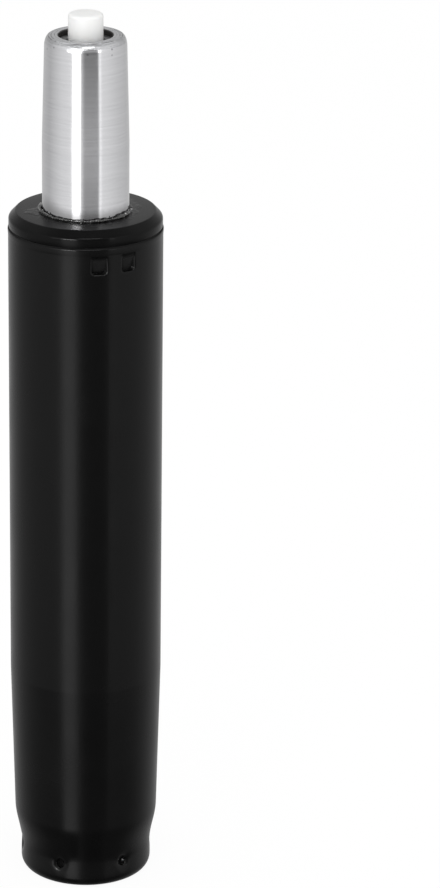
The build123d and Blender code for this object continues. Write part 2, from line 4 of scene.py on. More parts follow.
import bmesh
import bpy
import numpy as np
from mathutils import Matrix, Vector


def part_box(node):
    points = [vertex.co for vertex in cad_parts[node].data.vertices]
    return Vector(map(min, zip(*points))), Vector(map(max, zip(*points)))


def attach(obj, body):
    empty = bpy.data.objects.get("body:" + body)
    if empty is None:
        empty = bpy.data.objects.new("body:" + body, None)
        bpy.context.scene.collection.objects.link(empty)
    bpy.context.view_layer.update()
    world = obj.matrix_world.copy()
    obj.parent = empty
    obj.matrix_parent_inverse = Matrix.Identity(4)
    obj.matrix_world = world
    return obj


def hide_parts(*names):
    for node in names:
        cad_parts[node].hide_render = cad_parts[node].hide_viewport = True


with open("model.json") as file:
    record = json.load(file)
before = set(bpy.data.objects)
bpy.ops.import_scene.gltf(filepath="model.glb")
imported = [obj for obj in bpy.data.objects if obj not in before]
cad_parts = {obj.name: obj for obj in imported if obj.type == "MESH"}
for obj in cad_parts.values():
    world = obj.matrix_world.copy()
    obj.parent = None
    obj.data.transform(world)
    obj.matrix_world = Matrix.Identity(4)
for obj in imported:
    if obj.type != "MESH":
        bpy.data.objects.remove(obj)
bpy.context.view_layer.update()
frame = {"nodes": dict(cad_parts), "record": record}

# The chair gas lift stands on its column, lowered. Sizes below are in millimetres and degrees, as on a
# workshop drawing, and a turn is an angle to the viewer's right of the front, which is -Y.
MM = 0.001


def heights_of(node):
    """Bottom and top of a CAD node, in millimetres."""
    low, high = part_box(node)
    return low.z / MM, high.z / MM


def radius_of(node):
    """Largest radius of a turned CAD node, in millimetres."""
    low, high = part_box(node)
    return (high.x - low.x) / 2 / MM


# Places that the frame gives
column_top = heights_of("column_tube")[1]
spindle_bottom, spindle_top = heights_of("spindle_tube")
bush_bottom, wiper_top = heights_of("guide_bush")
body_bottom, body_top = heights_of("upper_valve_body")
button_bottom, button_top = heights_of("release_button")
spindle_radius = radius_of("spindle_tube")
body_radius = radius_of("upper_valve_body")
button_radius = radius_of("release_button")
flange_radius = radius_of("guide_bush")

# Column
column_radius = 25.0
column_wall = 1.5
column_edge = 0.6
mouth_flare = radius_of("column_tube") - column_radius
mouth_flare_length = 2.4
taper_angle = 1.438
taper_top = 72.25
taper_bottom = 22.15
neck_height = 8.8
neck_inset = 2.06
bulge_outset = 0.06
curl_width = 2.4
curl_height = 3.2
lip_radius = 17.6

# Windows of the column, each half closed by a tongue that is pressed inward and down
window_turns = (10.0, 33.3, 190.0, 213.3)
window_width = 4.7
window_top = 223.0
window_bottom = 217.0
window_corner = 0.9
window_round = 0.8
window_round_depth = 0.45
tongue_depth = 1.7
tongue_shear = 0.12
tongue_bend_share = 0.8
tongue_lean_share = 0.85

# Stakes, the dimples punched round the foot to hold the bottom plate, and how they draw the wall in
stake_count = 6
first_stake_turn = -24.2
stake_turns = tuple(first_stake_turn + 360.0 / stake_count * number for number in range(stake_count))
stake_radius = column_radius - neck_inset
stake_height = 7.6
stake_mouth = 1.6
stake_floor = 1.15
stake_depth = 2.1
stake_round = 2.2
stake_round_depth = 0.62
boss_radius = 2.2
boss_edge = 0.4
boss_height = 1.3
draw_depth = 0.28
draw_rise = 1.3
draw_width = 5.0
draw_height = 3.4

# Guide bush: flange with its bevel and wiper lip, core, collar, foot and ribs
bush_gap = 0.05
flange_side = 3.25
flange_bevel = 2.35
flange_bevel_width = 2.3
flange_round = 1.3
flange_foot_round = 0.15
seam_width = 0.7
seam_height = 0.45
flat_round = 0.5
flat_round_share = 0.4
wiper_width = 1.0
wiper_round = 0.3
wiper_edge = 0.2
bush_core_wall = 3.0
bush_collar_wall = 2.0
bush_collar_height = 22.0
bush_foot_height = 7.0
bush_rib_count = 8
bush_rib_width = 1.8
bush_rib_sink = 0.1

# Spindle
spindle_wall = 2.4
seat_taper_length = 34.7
rim_drop = 3.4
rim_round_width = 1.85
top_lip_width = 2.9
top_lip_thickness = 1.8
rim_inner_round = 0.5
rim_grooves = ((11.1, 0.08), (9.9, 0.16))
foot_round = 2.2
foot_lip_width = 2.4
foot_lip_thickness = 1.8

# Upper valve body and button
pin_bore = 2.55
well_gap = 0.65
well_depth = 5.0
well_round = 0.4
ring_groove_depth = 1.8
ring_groove_width = 1.86
button_round = 1.1
button_crown = 0.12
button_bevel = 0.3
button_socket = 2.53
button_socket_depth = 6.0

# Grease at the wiper lip
grease_outset = 0.65
grease_sink = 0.1
grease_thickness = 0.6
grease_unevenness = 0.6
grease_drops = 140
grease_drop_size = 0.3
grease_seed = 7

# Mesh lines: steps round, rows in height, some as a start, an end and a count, and weld distances
steps_round = 192
fine_step, middle_step, coarse_step = 0.32, 0.9, 3.0
fine_row, middle_row = 0.17, 0.36
row_gap = 0.4
rows_below_window = 1.2
plain_rows = (window_bottom - 4.0, taper_top + 6.0, 8)
kink_rows = (3.0, 1.5, 0.5, 0.0, -0.5, -1.5, -3.0)
taper_rows = (taper_top - 10.0, taper_bottom + 3.0, 6)
first_shoulder_row, shoulder_row_count = taper_bottom + 1.0, 16
row_below_seat_taper = 4.0
weld_round, weld_doubles = 0.001, 0.0005
crisp_angle, column_crisp_angle = 35.0, 50.0


def arc(centre, radius, start, end, steps, stretch=1.0):
    """Points of an arc of an outline, from one angle to another; 0 points outward and 90 up."""
    return [
        (centre[0] + radius * math.cos(angle), centre[1] + radius * stretch * math.sin(angle))
        for angle in np.radians(np.linspace(start, end, steps))
    ]


def eased(start, end, start_way, end_way, steps):
    """Points of a smooth curve that leaves one point in one direction and arrives in another."""
    start, end = np.array(start), np.array(end)
    chord = np.linalg.norm(end - start)
    leaving = np.array(start_way) / np.linalg.norm(start_way) * chord
    arriving = np.array(end_way) / np.linalg.norm(end_way) * chord
    points = []
    for t in np.linspace(0, 1, steps):
        at_start, after_start = 2 * t**3 - 3 * t**2 + 1, t**3 - 2 * t**2 + t
        at_end, before_end = -2 * t**3 + 3 * t**2, t**3 - t**2
        points.append(tuple(at_start * start + after_start * leaving + at_end * end + before_end * arriving))
    return points


def tapered(start_radius, start, end):
    """Radius at the far end of a standard taper that narrows from one height to another."""
    return start_radius - abs(start - end) * math.tan(math.radians(taper_angle))


class Graph:
    """A node tree that is filled in the order in which its nodes work."""

    def __init__(self, tree):
        self.tree = tree
        tree.nodes.clear()

    def add(self, kind, inputs=None, **settings):
        """Adds a node with its settings, and gives its inputs values or links."""
        node = self.tree.nodes.new(kind)
        for key, value in settings.items():
            setattr(node, key, value)
        for key, value in (inputs or {}).items():
            self.give(node.inputs[key], value)
        return node

    def give(self, socket, value):
        """Gives an input a value, or links it to an output or to the first output of a node."""
        if isinstance(value, bpy.types.Node):
            value = value.outputs[0]
        if isinstance(value, bpy.types.NodeSocket):
            self.tree.links.new(value, socket)
        else:
            socket.default_value = value

    def math(self, operation, *values):
        """The result of a Math node."""
        return self.add("ShaderNodeMath", dict(enumerate(values)), operation=operation)

    def product(self, first, *others):
        """The product of several values."""
        for other in others:
            first = self.math("MULTIPLY", first, other)
        return first

    def scaled(self, value, factor, plus):
        """A value times a factor, plus another value."""
        return self.math("MULTIPLY_ADD", value, factor, plus)

    def ease(self, value, start, end, low=0.0, high=1.0):
        """Eases from one level to another while a value goes from a start to an end."""
        inputs = {0: value, 1: start, 2: end, 3: low, 4: high}
        return self.add("ShaderNodeMapRange", inputs, interpolation_type="SMOOTHSTEP")

    def ease_mm(self, value, start, end, low=0.0, high=1.0):
        """The same where the start and the end are in millimetres."""
        return self.ease(value, start * MM, end * MM, low, high)

    def mix(self, share, first, second):
        """A colour between two colours, each a link or red, green and blue."""
        first, second = ((*colour, 1) if isinstance(colour, tuple) else colour for colour in (first, second))
        return self.add("ShaderNodeMix", {0: share, 6: first, 7: second}, data_type="RGBA").outputs[2]

    def from_axis(self, place):
        """Distance of a place from the vertical axis, and its parts along X, Y and Z."""
        parts = self.add("ShaderNodeSeparateXYZ", {0: place}).outputs
        flat = self.add("ShaderNodeCombineXYZ", {0: parts[0], 1: parts[1]})
        return self.add("ShaderNodeVectorMath", {0: flat}, operation="LENGTH").outputs["Value"], parts


socket_kinds = {int: "NodeSocketInt", float: "NodeSocketFloat"}


def named_tree(name, kind, inputs, output):
    """A new node group with named inputs, each a number or a kind of socket, and one output."""
    tree = bpy.data.node_groups.new(name, kind)
    for label, value in inputs.items():
        socket = socket_kinds.get(type(value), value)
        made = tree.interface.new_socket(label, in_out="INPUT", socket_type=socket)
        if socket != value:
            made.default_value = value
    tree.interface.new_socket(output[0], in_out="OUTPUT", socket_type=output[1])
    graph = Graph(tree)
    return graph, graph.add("NodeGroupInput").outputs


def hand_out(graph, result):
    """Ends a node group with the value that it puts out."""
    graph.add("NodeGroupOutput", {0: result})
    return graph.tree


# Geometry Nodes

def start_tree(name, inputs):
    """Starts a Geometry Nodes tree that takes geometry, named numbers and a material."""
    sockets = {"Geometry": "NodeSocketGeometry", **inputs, "Material": "NodeSocketMaterial"}
    return named_tree(name, "GeometryNodeTree", sockets, ("Geometry", "NodeSocketGeometry"))


def finish_tree(graph, geometry, given):
    """Ends a Geometry Nodes tree with smooth, realised geometry of one material."""
    smooth = graph.add("GeometryNodeSetShadeSmooth", {"Geometry": geometry})
    real = graph.add("GeometryNodeRealizeInstances", {"Geometry": smooth})
    painted = graph.add("GeometryNodeSetMaterial", {"Geometry": real, "Material": given["Material"]})
    tree = hand_out(graph, painted)
    tree.is_modifier = True
    return tree


def turning_tree():
    """Turns an outline, given as points in the XZ plane, round the Z axis."""
    graph, given = start_tree("turned piece", {"Steps round": steps_round, "Closed": 1})
    outline, steps = given["Geometry"], given["Steps round"]
    points = graph.add("GeometryNodeAttributeDomainSize", {"Geometry": outline})
    rows = graph.math("ADD", points, given["Closed"])
    gaps = graph.math("SUBTRACT", rows, 1.0)
    sizes = {"Size X": steps, "Size Y": gaps, "Vertices X": graph.math("ADD", steps, 1.0), "Vertices Y": rows}
    grid = graph.add("GeometryNodeMeshGrid", sizes)
    place = graph.add("ShaderNodeSeparateXYZ", {0: graph.add("GeometryNodeInputPosition")})
    column = graph.math("ROUND", graph.scaled(steps, 0.5, place.outputs[0]))
    along = graph.math("ROUND", graph.scaled(gaps, 0.5, place.outputs[1]))
    row = graph.math("MODULO", along, points)
    sampling = {"Geometry": outline, "Value": graph.add("GeometryNodeInputPosition"), "Index": row}
    sampled = graph.add("GeometryNodeSampleIndex", sampling, data_type="FLOAT_VECTOR", domain="POINT")
    angle = graph.product(graph.math("DIVIDE", column, steps), math.tau)
    turn = {"Vector": sampled, "Angle": angle}
    turned_place = graph.add("ShaderNodeVectorRotate", turn, rotation_type="Z_AXIS")
    moved = graph.add("GeometryNodeSetPosition", {"Geometry": grid, "Position": turned_place})
    welding = {"Geometry": moved, "Distance": weld_round * MM}
    return finish_tree(graph, graph.add("GeometryNodeMergeByDistance", welding), given)


def ring_tree():
    """Repeats a piece round the Z axis, from a first turn."""
    graph, given = start_tree("ring of copies", {"Count": 8, "First angle": 0.0})
    points = graph.add("GeometryNodePoints", {"Count": given["Count"]})
    share = graph.math("DIVIDE", graph.add("GeometryNodeInputIndex"), given["Count"])
    angle = graph.scaled(share, math.tau, given["First angle"])
    turn = graph.add("ShaderNodeCombineXYZ", {"Z": angle})
    placing = {"Points": points, "Instance": given["Geometry"], "Rotation": turn}
    return finish_tree(graph, graph.add("GeometryNodeInstanceOnPoints", placing), given)


def grease_tree():
    """An uneven bead of grease round the Z axis, thick in places, with small drops on it."""
    bead_steps, bead_sides, drop_rounding = 300, 12, 2
    bump_scale, swell_scale, seed_scale = 420.0, 90.0, 3.7
    girth_start, girth_end, thin, thick = 0.62, 0.95, 0.4, 1.3
    smallest_drop, drop_share, drop_reach = 0.35, 0.5, 0.9
    inputs = {"Radius": 14.6 * MM, "Height": 0.0, "Thickness": 0.4 * MM, "Unevenness": 0.3 * MM}
    inputs.update({"Drops": 60, "Drop size": 0.3 * MM, "Seed": 7})
    graph, given = start_tree("grease bead", inputs)
    thickness, unevenness, seed = given["Thickness"], given["Unevenness"], given["Seed"]
    noise_seed = graph.product(seed, seed_scale)

    def circle(steps, radius):
        return graph.add("GeometryNodeCurvePrimitiveCircle", {"Resolution": steps, "Radius": radius})

    def noise(scale):
        settings = {"Scale": scale, "Detail": 1.0, "W": noise_seed}
        return graph.add("ShaderNodeTexNoise", settings, noise_dimensions="4D")

    def vector(operation, settings):
        return graph.add("ShaderNodeVectorMath", settings, operation=operation)

    def random(kind, settings):
        return graph.add("FunctionNodeRandomValue", {**settings, "Seed": seed}, data_type=kind).outputs

    bumps, swells = noise(bump_scale), noise(swell_scale)
    lift = graph.scaled(graph.math("SUBTRACT", bumps, 0.5), unevenness, given["Height"])
    swing = graph.product(graph.math("SUBTRACT", swells, 0.5), unevenness)
    outward = vector("NORMALIZE", {0: graph.add("GeometryNodeInputPosition")})
    sideways = vector("SCALE", {0: outward, "Scale": swing})
    offset = vector("ADD", {0: sideways, 1: graph.add("ShaderNodeCombineXYZ", {"Z": lift})})
    ring = circle(bead_steps, given["Radius"])
    path = graph.add("GeometryNodeSetPosition", {"Geometry": ring, "Offset": offset})
    girth = graph.ease(graph.scaled(bumps, 0.5, swells), girth_start, girth_end, thin, thick)
    shaped = {"Curve": path, "Profile Curve": circle(bead_sides, thickness), "Scale": girth}
    bead = graph.add("GeometryNodeCurveToMesh", shaped)
    spots = graph.add("GeometryNodeCurveToPoints", {"Curve": path, "Count": given["Drops"]})
    rounding = {"Radius": given["Drop size"], "Subdivisions": drop_rounding}
    ball = graph.add("GeometryNodeMeshIcoSphere", rounding)
    reach = graph.product(thickness, -drop_reach)
    low = graph.add("ShaderNodeCombineXYZ", {0: reach, 1: reach, 2: reach})
    scatter = random("FLOAT_VECTOR", {0: low, 1: vector("SCALE", {0: low, "Scale": -1.0})})[0]
    size = random("FLOAT", {2: smallest_drop, 3: 1.0})[1]
    chosen = random("BOOLEAN", {"Probability": drop_share})[3]
    spread = graph.add("GeometryNodeSetPosition", {"Geometry": spots, "Offset": scatter})
    placing = {"Points": spread, "Instance": ball, "Scale": size, "Selection": chosen}
    both = graph.add("GeometryNodeJoinGeometry", {0: bead})
    graph.give(both.inputs[0], graph.add("GeometryNodeInstanceOnPoints", placing))
    return finish_tree(graph, both, given)


def link_new(name, data):
    """A new object of the scene that holds a mesh, a lamp or a camera."""
    thing = bpy.data.objects.new(name, data)
    bpy.context.scene.collection.objects.link(thing)
    return thing


def through_tree(name, mesh, tree, **inputs):
    """Puts a mesh through a Geometry Nodes tree and keeps what comes out as a plain mesh."""
    piece = link_new(name, mesh)
    modifier = piece.modifiers.new(tree.name, "NODES")
    modifier.node_group = tree
    for label, value in inputs.items():
        modifier[tree.interface.items_tree[label.replace("_", " ")].identifier] = value
    evaluated = piece.evaluated_get(bpy.context.evaluated_depsgraph_get())
    plain = bpy.data.meshes.new_from_object(evaluated)
    plain.name = name
    piece.modifiers.clear()
    piece.data = plain
    return piece


def face_outward(piece, sharp=crisp_angle):
    """Merges doubles, turns the faces of closed shells outward and keeps the corners crisp."""
    shape = bmesh.new()
    shape.from_mesh(piece.data)
    bmesh.ops.remove_doubles(shape, verts=shape.verts, dist=weld_doubles * MM)
    bmesh.ops.dissolve_degenerate(shape, edges=shape.edges, dist=weld_doubles * MM)
    bmesh.ops.recalc_face_normals(shape, faces=shape.faces)
    shape.to_mesh(piece.data)
    shape.free()
    piece.data.polygons.foreach_set("use_smooth", [True] * len(piece.data.polygons))
    piece.data.set_sharp_from_angle(angle=math.radians(sharp))
    return piece


def turned(name, outline, material, closed=True):
    """A turned piece from the points of its outline, in millimetres."""
    mesh = bpy.data.meshes.new(name)
    mesh.from_pydata([(r * MM, 0, z * MM) for r, z in outline], [], [])
    return face_outward(through_tree(name, mesh, turning, Closed=int(closed), Material=material))


def joined(first, *others):
    """Puts the meshes of several objects into the first one."""
    shape = bmesh.new()
    for thing in (first, *others):
        shape.from_mesh(thing.data)
    shape.to_mesh(first.data)
    shape.free()
    for thing in others:
        bpy.data.objects.remove(thing)
    return first


def dress(piece, body, slot, *nodes):
    """Makes a piece ride with a body and stand for CAD nodes; the slot is not used."""
    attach(piece, body)
    if nodes:
        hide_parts(*nodes)


# Column tube

def column_side():
    """The function that gives the radius of the column's outside at a height below its flare."""
    taper_end = tapered(column_radius, taper_top, taper_bottom)
    neck = taper_end - neck_inset
    taper_way, down = (taper_end - column_radius, taper_bottom - taper_top), (0, -1)
    shoulder = eased((taper_end, taper_bottom), (neck, neck_height), taper_way, down, steps=60)
    bulge = eased((neck, neck_height), (neck + bulge_outset, curl_height), down, down, steps=40)
    side = [(column_radius, column_top - mouth_flare_length), (column_radius, taper_top)]
    radii, heights = np.array(side + shoulder + bulge[1:])[::-1].T
    return lambda height: np.interp(height, heights, radii)


def column_rows():
    """Heights of the column's mesh lines over windows, plain side, taper, shoulder and stakes."""
    hole, dish = stake_mouth + row_gap, stake_mouth + stake_round
    windows = [*np.arange(window_top + fine_row, window_bottom - rows_below_window, -fine_row)]
    plain = [*np.linspace(*plain_rows)]
    taper = [taper_top + offset for offset in kink_rows] + [*np.linspace(*taper_rows)]
    stakes = [*np.arange(stake_height + dish, stake_height + hole, -middle_row)]
    stakes += [*np.arange(stake_height + hole, stake_height - hole, -fine_row)]
    stakes += [*np.arange(stake_height - hole, stake_height - dish + row_gap, -middle_row)]
    shoulder = [*np.linspace(first_shoulder_row, stakes[0] + row_gap, shoulder_row_count)]
    return windows, plain, taper, shoulder, stakes


def column_outline():
    """Points down the outside, round the foot and up the inside, and whether each is outside."""
    side = column_side()
    windows, plain, taper, shoulder, stakes = column_rows()
    mouth = column_radius + mouth_flare
    curl = (side(curl_height) - curl_width, curl_height)
    inner_width, inner_height = curl_width - column_wall, curl_height - column_wall
    outside = [(column_radius - column_wall, column_top)]
    outside += arc((mouth - column_edge, column_top - column_edge), column_edge, 90, 0, steps=7)
    outside += [(column_radius, column_top - mouth_flare_length)]
    outside += [(side(z), z) for z in windows + plain + taper + shoulder + stakes]
    outside += arc(curl, curl_width, 0, -90, steps=14, stretch=curl_height / curl_width)
    outside += [(lip_radius, 0)]
    inside = [(lip_radius, column_wall)]
    inside += arc(curl, inner_width, -90, 0, steps=6, stretch=inner_height / inner_width)
    inner_rows = sorted(stakes[::2] + shoulder[::2] + taper[::3] + windows[::3])
    inside += [(side(z) - column_wall, z) for z in inner_rows]
    rows = np.arange(len(outside + inside))[:, None]
    return np.array(outside + inside), rows < len(outside)


def column_angles():
    """Angles of the column's mesh lines, closer together where something is pressed in."""

    def around(turns, reach, radius):
        return [(turn, math.degrees(reach / radius)) for turn in turns]

    fine = around(window_turns, window_width / 2 + window_round + row_gap / 2, column_radius)
    fine += around(stake_turns, stake_mouth + row_gap, stake_radius)
    middle = around(stake_turns, stake_mouth + stake_round, stake_radius)
    whole_turn = [(180.0, 180.0)]
    angles, done = [], []
    for zones, step in ((fine, fine_step), (middle, middle_step), (whole_turn, coarse_step)):
        for centre, reach in zones:
            for angle in np.arange(centre - reach, centre + reach, step) % 360:
                if all(abs((angle - turn + 180) % 360 - 180) > extent + step / 3 for turn, extent in done):
                    angles.append(angle)
        done += zones
    angles = np.sort(angles)
    apart = np.diff(angles, prepend=angles[-1] - 360)
    return angles[apart > fine_step / 2]


def offset_from(angles, turn, radius):
    """Distance round the column from a turn, in millimetres."""
    return np.radians((angles - turn + 180) % 360 - 180) * radius


def window_press(across, height):
    """How far a window's tongue goes in at a place, and the same with the window's rounded mouth."""
    middle, half_height = (window_top + window_bottom) / 2, (window_top - window_bottom) / 2
    beyond_side = np.abs(across) - window_width / 2 + window_corner
    beyond_end = np.abs(height - middle) - half_height + window_corner
    corner = np.hypot(np.maximum(beyond_side, 0), np.maximum(beyond_end, 0))
    distance = corner + np.minimum(np.maximum(beyond_side, beyond_end), 0) - window_corner
    down = np.clip((window_top - height) / (window_top - window_bottom), 0, 1)
    bend = np.clip(down / tongue_bend_share, 0, 1)
    fade = tongue_lean_share * down + (1 - tongue_lean_share) * bend**2 * (3 - 2 * bend)
    tongue = tongue_depth * fade * np.clip(0.5 - distance / tongue_shear, 0, 1)
    mouth = window_round_depth * np.clip(1 - distance / window_round, 0, 1) ** 2
    return tongue, np.maximum(tongue, mouth * np.sqrt(fade) * (distance > -tongue_shear))


def stake_press(across, height):
    """How far a stake draws the wall in at a place, outside and inside."""
    distance = np.hypot(across, height - stake_height)
    cone = stake_depth * np.clip((stake_mouth - distance) / (stake_mouth - stake_floor), 0, 1)
    mouth = stake_round_depth * np.clip(1 - (distance - stake_mouth) / stake_round, 0, 1) ** 3
    reach = np.hypot(across / draw_width, (height - stake_height - draw_rise) / draw_height)
    draw = draw_depth * (1 - np.minimum(reach, 1) ** 2) ** 2
    boss = boss_height * np.clip((boss_radius + boss_edge / 2 - distance) / boss_edge, 0, 1)
    return np.maximum(cone, mouth) + draw, boss


def make_column(material):
    """The column, with the windows that hold its bush and the stakes that hold its bottom plate."""
    outline, outside = column_outline()
    angles = column_angles()
    radius = np.repeat(outline[:, :1], len(angles), axis=1)
    height = np.repeat(outline[:, 1:], len(angles), axis=1)
    turn = np.repeat(angles[None, :], len(outline), axis=0)
    for centre in window_turns:
        tongue, opening = window_press(offset_from(turn, centre, column_radius), height)
        radius -= np.where(outside, opening, tongue)
    for centre in stake_turns:
        dimple, boss = stake_press(offset_from(turn, centre, stake_radius), height)
        radius -= np.where(outside, dimple, boss)
    direction = np.radians(turn - 90)
    points = np.stack([radius * np.cos(direction), radius * np.sin(direction), height], axis=-1)
    number = np.arange(radius.size).reshape(radius.shape)
    down, right = np.roll(number, -1, axis=0), np.roll(number, -1, axis=1)
    corner = np.roll(down, -1, axis=1)
    faces = np.stack([number, right, corner, down], axis=-1).reshape(-1, 4)
    mesh = bpy.data.meshes.new("column_shell")
    mesh.from_pydata((points.reshape(-1, 3) * MM).tolist(), [], faces.tolist())
    mesh.materials.append(material)
    return face_outward(link_new("column_shell", mesh), sharp=column_crisp_angle)


# Spindle, guide bush, valve body and button

def spindle_outline():
    """Closed outline of the spindle tube: taper, rolled rim with its lip, bore and crimped foot."""
    shoulder = tapered(spindle_radius, seat_taper_length, rim_drop)
    bore = spindle_radius - spindle_wall
    mouth = bore - top_lip_width
    rim_outer = shoulder - rim_round_width
    taper_start, taper_end = spindle_top - seat_taper_length, spindle_top - rim_drop
    way = (shoulder - spindle_radius, taper_end - taper_start)
    outline = arc((spindle_radius - foot_round, spindle_bottom + foot_round), foot_round, -90, 0, steps=8)
    outline += [(spindle_radius, taper_start - row_below_seat_taper), (spindle_radius, taper_start)]
    outline += [((spindle_radius + shoulder) / 2, (taper_start + taper_end) / 2)]
    outline += eased((shoulder, taper_end), (rim_outer, spindle_top), way, (-1, 0), steps=14)
    for radius, depth in rim_grooves:
        outline += [(radius + depth, spindle_top), (radius, spindle_top - depth)]
        outline += [(radius - depth, spindle_top)]
    inner_round = (mouth + rim_inner_round, spindle_top - rim_inner_round)
    outline += arc(inner_round, rim_inner_round, 90, 180, steps=5)
    under_lip, over_lip = spindle_top - top_lip_thickness, spindle_bottom + foot_lip_thickness
    outline += [(mouth, under_lip), (bore, under_lip), (bore, over_lip)]
    outline += [(bore - foot_lip_width, over_lip), (bore - foot_lip_width, spindle_bottom)]
    return outline


def make_bush(material):
    """The guide bush: cap with a bevel and a wiper lip, core, collar, foot and ribs."""
    bore = spindle_radius + bush_gap
    core = bore + bush_core_wall
    sleeve = column_radius - column_wall - bush_gap
    side_top = column_top + flange_side
    cap_top = side_top + flange_bevel
    flat = flange_radius - flange_bevel_width
    bevel = math.degrees(math.atan2(flange_bevel, flange_bevel_width))
    foot_top, seam_top = bush_bottom + bush_foot_height, column_top + seam_height
    seam = flange_radius - seam_width
    foot_centre = (flange_radius - flange_foot_round, seam_top + flange_foot_round)
    side_centre = (flange_radius - flange_round, side_top - flange_round * math.tan(math.radians(bevel / 2)))
    flat_centre = (flat - flat_round * flat_round_share, cap_top - flat_round)
    outline = [(bore, bush_bottom), (sleeve, bush_bottom), (sleeve, foot_top), (core, foot_top)]
    outline += [(core, column_top), (seam, column_top), (seam, seam_top)]
    outline += arc(foot_centre, flange_foot_round, -90, 0, steps=4)
    outline += arc(side_centre, flange_round, 0, bevel, steps=8)
    outline += arc(flat_centre, flat_round, 90 - bevel, 90, steps=5)
    outline += [(bore + wiper_width + wiper_round, cap_top)]
    outline += eased((bore + wiper_width, cap_top), (bore + wiper_round, wiper_top), (0, 1), (-1, 0), steps=6)
    outline += [(bore, wiper_top - wiper_edge)]
    body = turned("bush_cap", outline, material)
    bottom, inner = column_top - bush_collar_height, sleeve - bush_collar_wall
    corners = [(inner, bottom), (sleeve, bottom), (sleeve, column_top), (inner, column_top)]
    collar = turned("bush_collar", corners, material)
    half, start, end = bush_rib_width / 2, core - bush_rib_sink, sleeve - bush_rib_sink
    section = ((start, -half), (end, -half), (end, half), (start, half))
    ends = [(x * MM, y * MM, z * MM) for z in (foot_top, column_top) for x, y in section]
    rib = bpy.data.meshes.new("bush_rib")
    sides = [(0, 1, 5, 4), (1, 2, 6, 5), (2, 3, 7, 6), (3, 0, 4, 7)]
    rib.from_pydata(ends, [], [(3, 2, 1, 0), (4, 5, 6, 7), *sides])
    first = math.radians((window_turns[0] + window_turns[1]) / 2 - 90)
    settings = {"Count": bush_rib_count, "First_angle": first, "Material": material}
    ribs = through_tree("bush_ribs", rib, repeating, **settings)
    return joined(body, collar, ribs)


def valve_body_outline():
    """Closed outline of the upper valve body, with the button's well and the ring groove."""
    well, well_bottom = button_radius + well_gap, button_bottom - well_depth
    middle = (well_bottom + body_bottom) / 2
    low, high = middle - ring_groove_width / 2, middle + ring_groove_width / 2
    groove = body_radius - ring_groove_depth
    outline = [(pin_bore, body_bottom), (body_radius, body_bottom), (body_radius, low), (groove, low)]
    outline += [(groove, high), (body_radius, high), (body_radius, body_top)]
    outline += arc((well + well_round, body_top - well_round), well_round, 90, 180, steps=4)
    outline += [(well, well_bottom), (pin_bore, well_bottom)]
    return outline


def button_outline():
    """Outline of the button from the axis at its top to the axis in its socket."""
    crown_radius_share, crown_drop_share, crown_slope = 0.4, 0.2, 6
    round_centre = (button_radius - button_round, button_top - button_crown - button_round)
    socket_top = button_bottom + button_socket_depth
    outline = [(0, button_top)]
    outline += [(button_radius * crown_radius_share, button_top - button_crown * crown_drop_share)]
    outline += arc(round_centre, button_round, 90 - crown_slope, 0, steps=9)
    outline += [(button_radius, button_bottom + button_bevel), (button_radius - button_bevel, button_bottom)]
    outline += [(button_socket, button_bottom), (button_socket, socket_top), (0, socket_top)]
    return outline


# Shared effects, as shader node groups

def effect(name, inputs):
    """Starts a shader node group with a Place input, named numbers and a Mask."""
    sockets = {"Place": "NodeSocketVector", **inputs}
    return named_tree(name, "ShaderNodeTree", sockets, ("Mask", "NodeSocketFloat"))


def grain_effect():
    """Even grain, such as orange peel or a moulded texture, from 0 to 1."""
    graph, given = effect("even grain", {"Size": 1.0 * MM, "Softness": 0.5})
    scale = graph.math("DIVIDE", 1.0, given["Size"])
    inputs = {"Vector": given["Place"], "Scale": scale, "Detail": 3.0, "Roughness": given["Softness"]}
    return hand_out(graph, graph.add("ShaderNodeTexNoise", inputs))


def marks_effect():
    """Fine marks that run round the axis, from 0 to 1, each with its own strength."""
    waver_scale, waver_unit = 60.0, 0.01
    graph, given = effect("turning marks", {"Pitch": 0.2 * MM, "Waver": 0.02})
    out, parts = graph.from_axis(given["Place"])
    scaled = graph.math("DIVIDE", graph.math("SUBTRACT", out, parts[2]), given["Pitch"])
    wandering = {"Vector": given["Place"], "Scale": waver_scale, "Detail": 1.0}
    shift = graph.add("ShaderNodeTexNoise", wandering)
    waver = graph.product(shift, graph.math("DIVIDE", given["Waver"], waver_unit))
    marking = {"W": graph.math("ADD", scaled, waver), "Scale": 1.0, "Detail": 4.0, "Roughness": 0.7}
    return hand_out(graph, graph.add("ShaderNodeTexNoise", marking, noise_dimensions="1D"))


def specks_effect():
    """Sparse small specks, such as dust or pits, from 0 to 1."""
    core_share = 0.4
    graph, given = effect("specks", {"Spacing": 3.0 * MM, "Size": 0.06, "Amount": 0.4})
    scale = graph.math("DIVIDE", 1.0, given["Spacing"])
    cells = graph.add("ShaderNodeTexVoronoi", {"Vector": given["Place"], "Scale": scale}).outputs
    near = graph.ease(cells["Distance"], given["Size"], graph.product(given["Size"], core_share))
    pick = graph.add("ShaderNodeSeparateXYZ", {0: cells["Color"]})
    return hand_out(graph, graph.product(near, graph.math("LESS_THAN", pick, given["Amount"])))


# Materials

def grey(level):
    """A grey as red, green and blue."""
    return level, level, level


